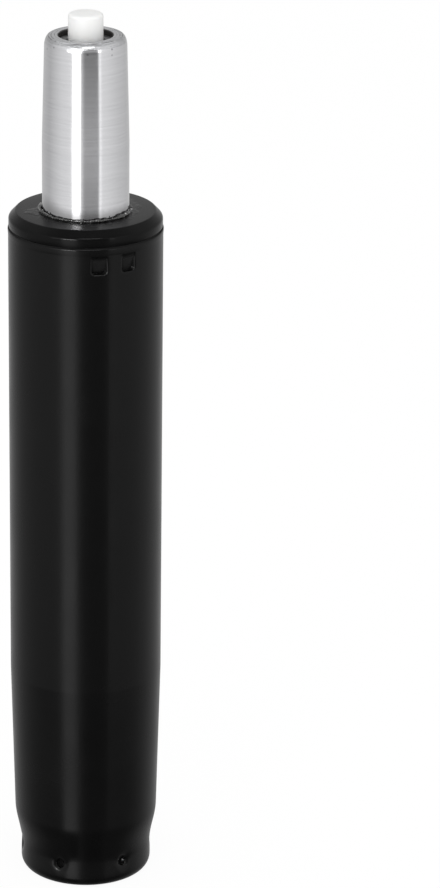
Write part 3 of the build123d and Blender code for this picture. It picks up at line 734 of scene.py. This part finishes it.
class Surface(Graph):
    """A material with a Principled surface, whose patterns read Object coordinates."""

    def __init__(self, name, **constants):
        self.material = bpy.data.materials.new(name)
        self.material.use_nodes = True
        super().__init__(self.material.node_tree)
        self.principled = self.add("ShaderNodeBsdfPrincipled")
        self.feed(**constants)
        self.add("ShaderNodeOutputMaterial", {0: self.principled})
        self.place = self.add("ShaderNodeTexCoord").outputs["Object"]

    def feed(self, **inputs):
        """Gives named inputs of the surface values or links; underscores stand for spaces."""
        for key, value in inputs.items():
            self.give(self.principled.inputs[key.replace("_", " ")], value)

    def pattern(self, group, **inputs):
        """A shared effect on the surface."""
        return self.add("ShaderNodeGroup", {"Place": self.place, **inputs}, node_tree=group)

    def grain(self, size, softness):
        """Even grain of a size in millimetres."""
        return self.pattern(even_grain, Size=size * MM, Softness=softness)

    def marks(self, pitch, waver):
        """Marks round the axis at a pitch in millimetres."""
        return self.pattern(turning_marks, Pitch=pitch * MM, Waver=waver)

    def specks(self, spacing, size, amount):
        """Sparse specks at a spacing in millimetres."""
        return self.pattern(small_specks, Spacing=spacing * MM, Size=size, Amount=amount)

    def vary(self, pattern, low, high):
        """A level from low to high that follows a pattern."""
        return self.ease(pattern, 0.3, 0.7, low, high)

    def finished(self, colour, relief, depth, **inputs):
        """The material with its colour, other inputs, and a relief of 0 to 1 over some millimetres."""
        bump = self.add("ShaderNodeBump", {"Height": relief, "Strength": 1.0, "Distance": depth * MM})
        self.feed(Base_Color=colour, Normal=bump, **inputs)
        return self.material


def paint_material():
    """Satin black powder coat over steel, chipped to bright metal in the stakes, with a painted sheen on the
    pressed window tongues.
    """
    # Radii over which the painted sheen of the window tongues comes in
    bend = column_radius - 0.1, column_radius - 0.6
    chip_start, chip_end = stake_radius - 2.5, stake_radius - 3.7
    edge_heights, edge_shine = (column_top - 0.8, column_top - 0.55), -0.1
    ledge_heights, ledge_dullness = (column_top - 0.3, column_top - 0.15), 0.7
    chip_level, hollow_dullness = 0.6, 0.7
    paint = Surface("black_powder_coat", Specular_IOR_Level=0.18)
    peel = paint.grain(0.9, 0.4)
    cloud = paint.grain(22, 0.6)
    chips = paint.grain(1.4, 0.5)
    dust = paint.specks(5.0, 0.03, 0.25)
    out, (_, _, height) = paint.from_axis(paint.place)
    at_stakes = paint.math("COMPARE", height, stake_height * MM, stake_mouth * MM)
    hollow = paint.product(at_stakes, paint.math("LESS_THAN", out, chip_start * MM))
    outer = paint.math("GREATER_THAN", out, chip_end * MM)
    bare = paint.product(hollow, paint.product(outer, paint.math("GREATER_THAN", chips, chip_level)))
    above = paint.math("GREATER_THAN", height, window_bottom * MM)
    at_window = paint.product(above, paint.math("LESS_THAN", height, window_top * MM))
    # Painted reflection: the pressed window tongues get a lighter colour, a painted sheen for what their
    # tilted floors mirror
    painted_window_sheen = paint.product(paint.ease_mm(out, *bend), at_window)
    coat = paint.mix(painted_window_sheen, paint.mix(cloud, grey(0.0006), grey(0.0012)), grey(0.0095))
    dusty = paint.mix(paint.product(dust, 0.1), coat, grey(0.1))
    colour = paint.mix(bare, dusty, (0.55, 0.55, 0.56))
    edge = paint.ease_mm(height, *edge_heights)
    ledge = paint.ease_mm(height, *ledge_heights)
    rough = paint.vary(cloud, 0.22, 0.28)
    rough = paint.scaled(edge, edge_shine, rough)
    rough = paint.scaled(ledge, ledge_dullness, rough)
    rough = paint.scaled(paint.math("SUBTRACT", hollow, bare), hollow_dullness, rough)
    return paint.finished(colour, peel, 0.012, Roughness=rough, Metallic=bare)


def plastic_material():
    """Moulded black plastic of the cap: faint grain, dust, a polished edge and a lumpy film of grease."""
    film_start, film_spread, film_shine, film_bump = spindle_radius - 4.5, 14, -0.1, 18.0
    edge, edge_shine = column_top + flange_side, -0.1
    edge_bottom, edge_top = (edge - 1.2, edge - 0.6), (edge + 0.7, edge + 0.3)
    plastic = Surface("black_acetal", Specular_IOR_Level=0.11)
    texture = plastic.grain(0.35, 0.5)
    cloud = plastic.grain(9, 0.6)
    patches = plastic.grain(6, 0.6)
    lumps = plastic.grain(1.1, 0.7)
    dust = plastic.specks(2.6, 0.05, 0.3)
    out, (_, _, height) = plastic.from_axis(plastic.place)
    reach = plastic.scaled(patches, film_spread * MM, film_start * MM)
    film = plastic.ease_mm(plastic.math("SUBTRACT", out, reach), 1.2, -0.6)
    body = plastic.mix(cloud, grey(0.0015), grey(0.003))
    colour = plastic.mix(plastic.product(dust, 0.2), body, grey(0.25))
    at_edge = plastic.product(plastic.ease_mm(height, *edge_bottom), plastic.ease_mm(height, *edge_top))
    rough = plastic.scaled(film, film_shine, plastic.vary(cloud, 0.19, 0.25))
    rough = plastic.scaled(at_edge, edge_shine, rough)
    relief = plastic.scaled(plastic.product(lumps, film), film_bump, texture)
    return plastic.finished(colour, relief, 0.01, Roughness=rough)


def spindle_material():
    """Bright ground steel with marks round it, a duller scored rim, and painted shade in its mouth and at its
    foot.
    """
    mouth = spindle_radius - spindle_wall - top_lip_width
    mouth_edge = mouth + 0.45, mouth + 0.1
    rim_heights = spindle_top - 2.6, spindle_top - 0.4
    handled_heights = spindle_top - 6, spindle_top - 2
    # Reach of the painted shade at the spindle's foot, in millimetres: across from right to left, its height
    # there and its fade
    foot_shade_left, foot_shade_right, foot_shade_high, foot_shade_low, foot_shade_fade = -13, -5, 6.5, 3.0, 2
    score_level, score_bump, rim_bump = 0.8, -6.0, 3.0
    steel = Surface("ground_bright_steel")
    fine = steel.marks(0.35, 0.01)
    broad = steel.marks(2.6, 0.02)
    scores = steel.marks(0.8, 0.03)
    streaks = steel.marks(0.8, 0.003)
    cloud = steel.grain(7, 0.6)
    blotch = steel.grain(3.5, 0.7)
    pits = steel.specks(2.6, 0.19, 0.3)
    out, (across, _, height) = steel.from_axis(steel.place)
    # Painted shade: the spindle's mouth gets a near-black, non-metallic colour for the deep opening
    dark = steel.ease_mm(out, *mouth_edge)
    rim = steel.ease_mm(height, *rim_heights)
    score = steel.product(steel.ease(scores, 0.51, 0.59), steel.ease(blotch, 0.40, 0.54), rim)
    patchy = steel.ease(blotch, 0.35, 0.65, 0.2, 1.3)
    ground = steel.scaled(steel.math("SUBTRACT", streaks, 0.5), patchy, broad)
    bright = steel.mix(ground, (0.62, 0.62, 0.636), (0.75, 0.75, 0.766))
    dull = steel.mix(fine, (0.44, 0.445, 0.455), (0.67, 0.675, 0.69))
    scored = steel.mix(steel.product(score, score_level), steel.mix(rim, bright, dull), (0.12, 0.12, 0.125))
    handled = steel.ease_mm(height, *handled_heights, 0.04, 0.6)
    worn = steel.mix(steel.product(pits, handled), scored, (0.16, 0.16, 0.17))
    # Painted shade and reflection of the cap: darker colour at the spindle's foot above the wiper, reaching
    # higher on the left
    side = steel.ease_mm(across, foot_shade_right, foot_shade_left, foot_shade_low * MM, foot_shade_high * MM)
    reach = steel.scaled(blotch, foot_shade_fade * MM, side)
    above = steel.math("SUBTRACT", height, wiper_top * MM)
    foot_shade_top = steel.ease(steel.math("DIVIDE", above, reach), 1.0, 0.1)
    painted_foot_shade = steel.product(foot_shade_top, steel.ease_mm(above, -5, -1, 0.0, 0.6))
    foot_shaded = steel.mix(painted_foot_shade, worn, (0.10, 0.098, 0.095))
    colour = steel.mix(dark, foot_shaded, (0.010, 0.008, 0.007))
    waviness = steel.scaled(cloud, 0.5, steel.product(fine, 0.5))
    polish = steel.vary(waviness, 0.10, 0.16)
    rim_rough = steel.product(rim, steel.vary(blotch, 0.12, 0.2))
    rough = steel.math("MAXIMUM", steel.math("MAXIMUM", polish, rim_rough), steel.product(dark, 0.5))
    scratches = steel.scaled(score, score_bump, fine)
    relief = steel.product(scratches, steel.scaled(rim, rim_bump, 1.0))
    metal = steel.math("SUBTRACT", 1.0, dark)
    return steel.finished(colour, relief, 0.0015, Roughness=rough, Metallic=metal)


def nylon_material():
    """Natural white nylon with a soft shine."""
    nylon = Surface("natural_nylon", Specular_IOR_Level=0.4, Subsurface_Weight=0.12)
    nylon.feed(Subsurface_Radius=(1.2, 1.1, 1.0), Subsurface_Scale=1.2 * MM)
    texture, cloud = nylon.grain(0.3, 0.5), nylon.grain(5, 0.5)
    marks = nylon.specks(2.2, 0.04, 0.2)
    body = nylon.mix(cloud, (0.89, 0.89, 0.88), (0.92, 0.92, 0.91))
    colour = nylon.mix(nylon.product(marks, 0.25), body, (0.5, 0.49, 0.46))
    return nylon.finished(colour, texture, 0.006, Roughness=nylon.vary(cloud, 0.38, 0.5))


def metal_material(name, dark, light, low_rough, high_rough, pitch):
    """Turned or pressed metal whose marks run round the axis."""
    metal = Surface(name, Metallic=1.0)
    marks, cloud = metal.marks(pitch, 0.01), metal.grain(4, 0.6)
    rough = metal.vary(cloud, low_rough, high_rough)
    return metal.finished(metal.mix(marks, dark, light), marks, 0.004, Roughness=rough)


def moulded_material(name, dark, light, low_rough, high_rough, grain_size):
    """Moulded plastic or rubber with a fine grain."""
    moulding = Surface(name, Specular_IOR_Level=0.35)
    texture = moulding.grain(grain_size, 0.5)
    rough = moulding.vary(texture, low_rough, high_rough)
    return moulding.finished(moulding.mix(texture, dark, light), texture, 0.01, Roughness=rough)


def grease_material():
    """Dark wet grease squeezed out at the wiper, with light flecks that are painted glints."""
    grease = Surface("dark_grease", Specular_IOR_Level=1.0, Roughness=0.08)
    body = grease.mix(grease.grain(1.5, 0.6), grey(0.006), (0.02, 0.019, 0.017))
    # Painted highlight: light flecks in the grease's colour stand in for glints on its lumps
    colour = grease.mix(grease.specks(0.9, 0.42, 0.35), body, (0.5, 0.5, 0.49))
    return grease.finished(colour, grease.grain(0.7, 0.3), 0.35)


# Studio: white walls with a dark gap in them, which the camera looks through, and a ceiling

# Brightness of the walls by turn from the front, with a thin bright strip at the right of the gap
wall_levels = (
    (-180, 0.62), (-150, 0.60), (-112, 0.56), (-67, 0.86), (-38, 0.95), (-12, 0.3),
    (33, 0.3), (37, 1.25), (41, 1.25), (44, 0.95), (97, 0.72), (139, 0.60), (180, 0.62),
)
# Brightness in the gap by the height of the direction, from -1 below to 1 above, as all heights here
gap_levels = (
    (-0.70, 0.12), (-0.50, 0.17), (-0.445, 0.21), (-0.42, 0.4), (-0.37, 0.46), (-0.345, 0.05),
    (-0.314, 0.05), (-0.306, 0.52), (-0.285, 0.6), (-0.26, 0.56), (-0.233, 0.44), (-0.224, 0.36),
    (-0.214, 0.29), (-0.19, 0.24), (0.05, 0.2), (0.16, 0.5), (0.4, 0.45), (0.6, 0.6),
)
brightest = 2.5
gap_left, gap_right, gap_blur = -14.0, 34.0, 2.5
# Broad bright strip at the left of the gap, with its foot, its top and the glow that it throws in the gap
glow_start, glow_end, glow_level = -1.0, -15.0, 0.42
strip_left = -35.6
strip_foot, strip_top = (-0.60, -0.42), (0.46, 0.40)
strip_rise, strip_levels = (0.0, 0.25), (2.5, 4.6)
# How walls fade below, brighten above and meet the ceiling, with levels behind the camera and opposite it
walls_foot, foot_depth, foot_levels = (-0.46, -0.38), (-0.3, 0.6), (0.2, 0.78)
upper_rise, upper_depth, upper_levels = (0.05, 0.25), (0.1, 0.7), (1.2, 0.95)
ceiling_rise, ceiling_depth, ceiling_levels = (0.55, 0.8), (-0.3, 0.35), (0.55, 1.0)


def level_ramp(graph, share, levels):
    """Brightness that is looked up along a row of stops, each from 0 to 1."""
    node = graph.add("ShaderNodeValToRGB", {0: share})
    stops = node.color_ramp.elements
    stops[0].position, stops[-1].position = levels[0][0], levels[-1][0]
    for position, level in levels[1:-1]:
        stops.new(position)
    for stop, (position, level) in zip(stops, levels):
        stop.color = (*grey(level / brightest), 1)
    return graph.product(node, brightest)


def make_world():
    """White walls with a dark gap, for lighting and reflections, and plain white behind the object."""
    world = bpy.data.worlds.new("studio")
    bpy.context.scene.world = world
    world.use_nodes = True
    graph = Graph(world.node_tree)
    seen_from = graph.add("ShaderNodeTexCoord").outputs["Generated"]
    across, depth, height = graph.add("ShaderNodeSeparateXYZ", {0: seen_from}).outputs
    azimuth = graph.math("ARCTAN2", across, graph.product(depth, -1.0))
    around = graph.scaled(azimuth, 1 / math.tau, 0.5)
    walls = level_ramp(graph, around, [(turn / 360 + 0.5, level) for turn, level in wall_levels])
    rise = graph.scaled(height, 0.5, 0.5)
    gap = level_ramp(graph, rise, [(place / 2 + 0.5, level) for place, level in gap_levels])
    glow = graph.ease(azimuth, math.radians(glow_start), math.radians(glow_end), 0.0, glow_level)

    def past(turn):
        return graph.ease(azimuth, math.radians(turn - gap_blur), math.radians(turn + gap_blur))

    def between(left, right):
        return graph.math("SUBTRACT", past(left), past(right))

    upright = graph.product(graph.ease(height, *strip_foot), graph.ease(height, *strip_top))
    in_strip = graph.product(between(strip_left, gap_left), upright)
    strip = graph.ease(height, *strip_rise, *strip_levels)
    foot = graph.ease(height, *walls_foot, graph.ease(depth, *foot_depth, *foot_levels), 1.0)
    upper = graph.ease(height, *upper_rise, 1.0, graph.ease(depth, *upper_depth, *upper_levels))
    ceiling = graph.ease(depth, *ceiling_depth, *ceiling_levels)
    light = graph.product(walls, graph.product(foot, upper))
    layers = (
        (between(gap_left, gap_right), graph.math("ADD", gap, glow)),
        (in_strip, strip),
        (graph.ease(height, *ceiling_rise), ceiling),
    )
    for share, level in layers:
        light = graph.add("ShaderNodeMix", {0: share, 2: light, 3: level})
    studio = graph.add("ShaderNodeBackground", {"Color": (*grey(1), 1), "Strength": light})
    behind = graph.add("ShaderNodeBackground", {"Color": (*grey(1), 1), "Strength": 1.0})
    seen = graph.add("ShaderNodeLightPath").outputs["Is Camera Ray"]
    both = graph.add("ShaderNodeMixShader", {0: seen, 1: studio, 2: behind})
    graph.add("ShaderNodeOutputWorld", {0: both})


def make_floor():
    """Pale floor that keeps a faint shadow."""
    half_size, paleness, glow_strength, glow_share = 4.0, 0.9, 1.02, 0.92
    corners = [(x * half_size, y * half_size, 0) for x, y in ((-1, -1), (1, -1), (1, 1), (-1, 1))]
    mesh = bpy.data.meshes.new("floor")
    mesh.from_pydata(corners, [], [(0, 1, 2, 3)])
    floor = link_new("floor", mesh)
    material = bpy.data.materials.new("pale_floor")
    material.use_nodes = True
    graph = Graph(material.node_tree)
    pale = graph.add("ShaderNodeBsdfDiffuse", {"Color": (*grey(paleness), 1)})
    white = graph.add("ShaderNodeEmission", {"Strength": glow_strength})
    seen = graph.add("ShaderNodeLightPath").outputs["Is Camera Ray"]
    share = graph.product(seen, glow_share)
    both = graph.add("ShaderNodeMixShader", {0: share, 1: pale, 2: white})
    graph.add("ShaderNodeOutputMaterial", {0: both})
    mesh.materials.append(material)
    floor.visible_glossy = False
    floor.visible_shadow = False


def make_softbox(name, turn, elevation, distance, width, height, level):
    """A soft rectangular lamp of a given brightness, in metres, that looks at the top of the column."""
    lamp = bpy.data.lights.new(name, "AREA")
    lamp.shape = "RECTANGLE"
    lamp.size, lamp.size_y = width, height
    lamp.energy = level * math.pi * width * height
    around, up = math.radians(turn), math.radians(elevation)
    away = Vector((math.sin(around) * math.cos(up), -math.cos(around) * math.cos(up), math.sin(up)))
    thing = link_new(name, lamp)
    thing.location = Vector((0, 0, column_top * MM)) + away * distance
    thing.rotation_euler = away.to_track_quat("Z", "Y").to_euler()
    return thing


def make_camera():
    """The photograph's camera: far off, a little above the lift and square to it."""
    distance, height, pitch = 1.31835, 0.6419, 20.4392
    focal_pixels, long_side, half_width, axis_pixel = 4294.15, 888, 220, 85.7
    data = bpy.data.cameras.new("camera")
    data.sensor_width = 36.0
    data.lens = focal_pixels / long_side * data.sensor_width
    data.shift_x = (half_width - axis_pixel) / long_side
    camera = link_new("camera", data)
    camera.location = (0, -distance, height)
    camera.rotation_euler = (math.radians(90 - pitch), 0, 0)
    bpy.context.scene.camera = camera


make_camera()
make_world()
make_floor()
# Softboxes: turn, elevation, distance, width, height, brightness and whether they light matt surfaces
softboxes = {
    "left_softbox": (-35, 11, 1.3, 0.75, 0.27, 2.4, False),
    "edge_softbox": (-24, 11, 1.5, 0.5, 0.2, 20.0, False),
    "right_softbox": (38, 10, 1.3, 0.16, 0.24, 2.2, True),
    "overhead_softbox": (8, 46, 1.3, 0.62, 0.3, 5.2, True),
}
for name, (*settings, lights_matt) in softboxes.items():
    make_softbox(name, *settings).visible_diffuse = lights_matt
bpy.context.scene.view_settings.view_transform = "Standard"

even_grain = grain_effect()
turning_marks = marks_effect()
small_specks = specks_effect()
turning = turning_tree()
repeating = ring_tree()
greasing = grease_tree()

# Metals inside: name, dark and light of their marks, least and greatest roughness and pitch of the marks
metals = {
    "zinc_steel": ("zinc_plated_steel", (0.42, 0.42, 0.43), (0.62, 0.62, 0.63), 0.3, 0.42, 0.5),
    "bearing_steel": ("ground_bearing_steel", (0.5, 0.5, 0.51), (0.66, 0.66, 0.67), 0.12, 0.2, 0.3),
    "ball_steel": ("polished_ball_steel", (0.64, 0.64, 0.65), (0.7, 0.7, 0.71), 0.04, 0.08, 1.0),
    "rod_chrome": ("hard_chrome", (0.62, 0.62, 0.63), (0.7, 0.7, 0.72), 0.05, 0.12, 0.4),
    "spring_steel": ("phosphated_spring_steel", (0.12, 0.12, 0.12), (0.22, 0.215, 0.2), 0.35, 0.5, 0.8),
    # Painted shade: the valve aluminium gets a dark colour for the ledge seen down in the spindle's opening
    "valve_metal": ("turned_aluminium", (0.12, 0.12, 0.122), (0.3, 0.3, 0.305), 0.35, 0.5, 0.4),
}
# Moulded pieces inside: name, dark and light of their grain, least and greatest roughness and grain size
mouldings = {
    "cage_plastic": ("matte_nylon", (0.5, 0.48, 0.4), (0.6, 0.58, 0.5), 0.45, 0.58, 0.6),
    "black_rubber": ("nitrile_rubber", (0.012, 0.012, 0.012), (0.025, 0.025, 0.025), 0.55, 0.68, 0.5),
}
finishes = {
    "black_paint": paint_material(),
    "black_plastic": plastic_material(),
    "ground_steel": spindle_material(),
    "white_plastic": nylon_material(),
    **{slot: metal_material(*values) for slot, values in metals.items()},
    **{slot: moulded_material(*values) for slot, values in mouldings.items()},
}

for entry in frame["record"]["subparts"]:
    node = frame["nodes"][entry["node"]]
    node.data.materials.clear()
    node.data.materials.append(finishes[entry["material_slot"]])

dress(make_column(finishes["black_paint"]), "column", "black_paint", "column_tube")
cap = make_bush(finishes["black_plastic"])
dress(cap, "column", "black_plastic", "guide_bush")
# The polished spindle shows the walls down to its foot, and not the cap
cap.visible_glossy = False
spindle = turned("spindle_shell", spindle_outline(), finishes["ground_steel"])
dress(spindle, "spindle", "ground_steel", "spindle_tube")
valve = turned("valve_well", valve_body_outline(), finishes["valve_metal"])
dress(valve, "spindle", "valve_metal", "upper_valve_body")
button = turned("push_button", button_outline(), finishes["white_plastic"], closed=False)
dress(button, "release", "white_plastic", "release_button")
bead = through_tree(
    "wiper_grease",
    bpy.data.meshes.new("wiper_grease"),
    greasing,
    Radius=(spindle_radius + grease_outset) * MM,
    Height=(wiper_top - grease_sink) * MM,
    Thickness=grease_thickness * MM,
    Unevenness=grease_unevenness * MM,
    Drops=grease_drops,
    Drop_size=grease_drop_size * MM,
    Seed=grease_seed,
    Material=grease_material(),
)
dress(face_outward(bead), "column", "black_plastic")
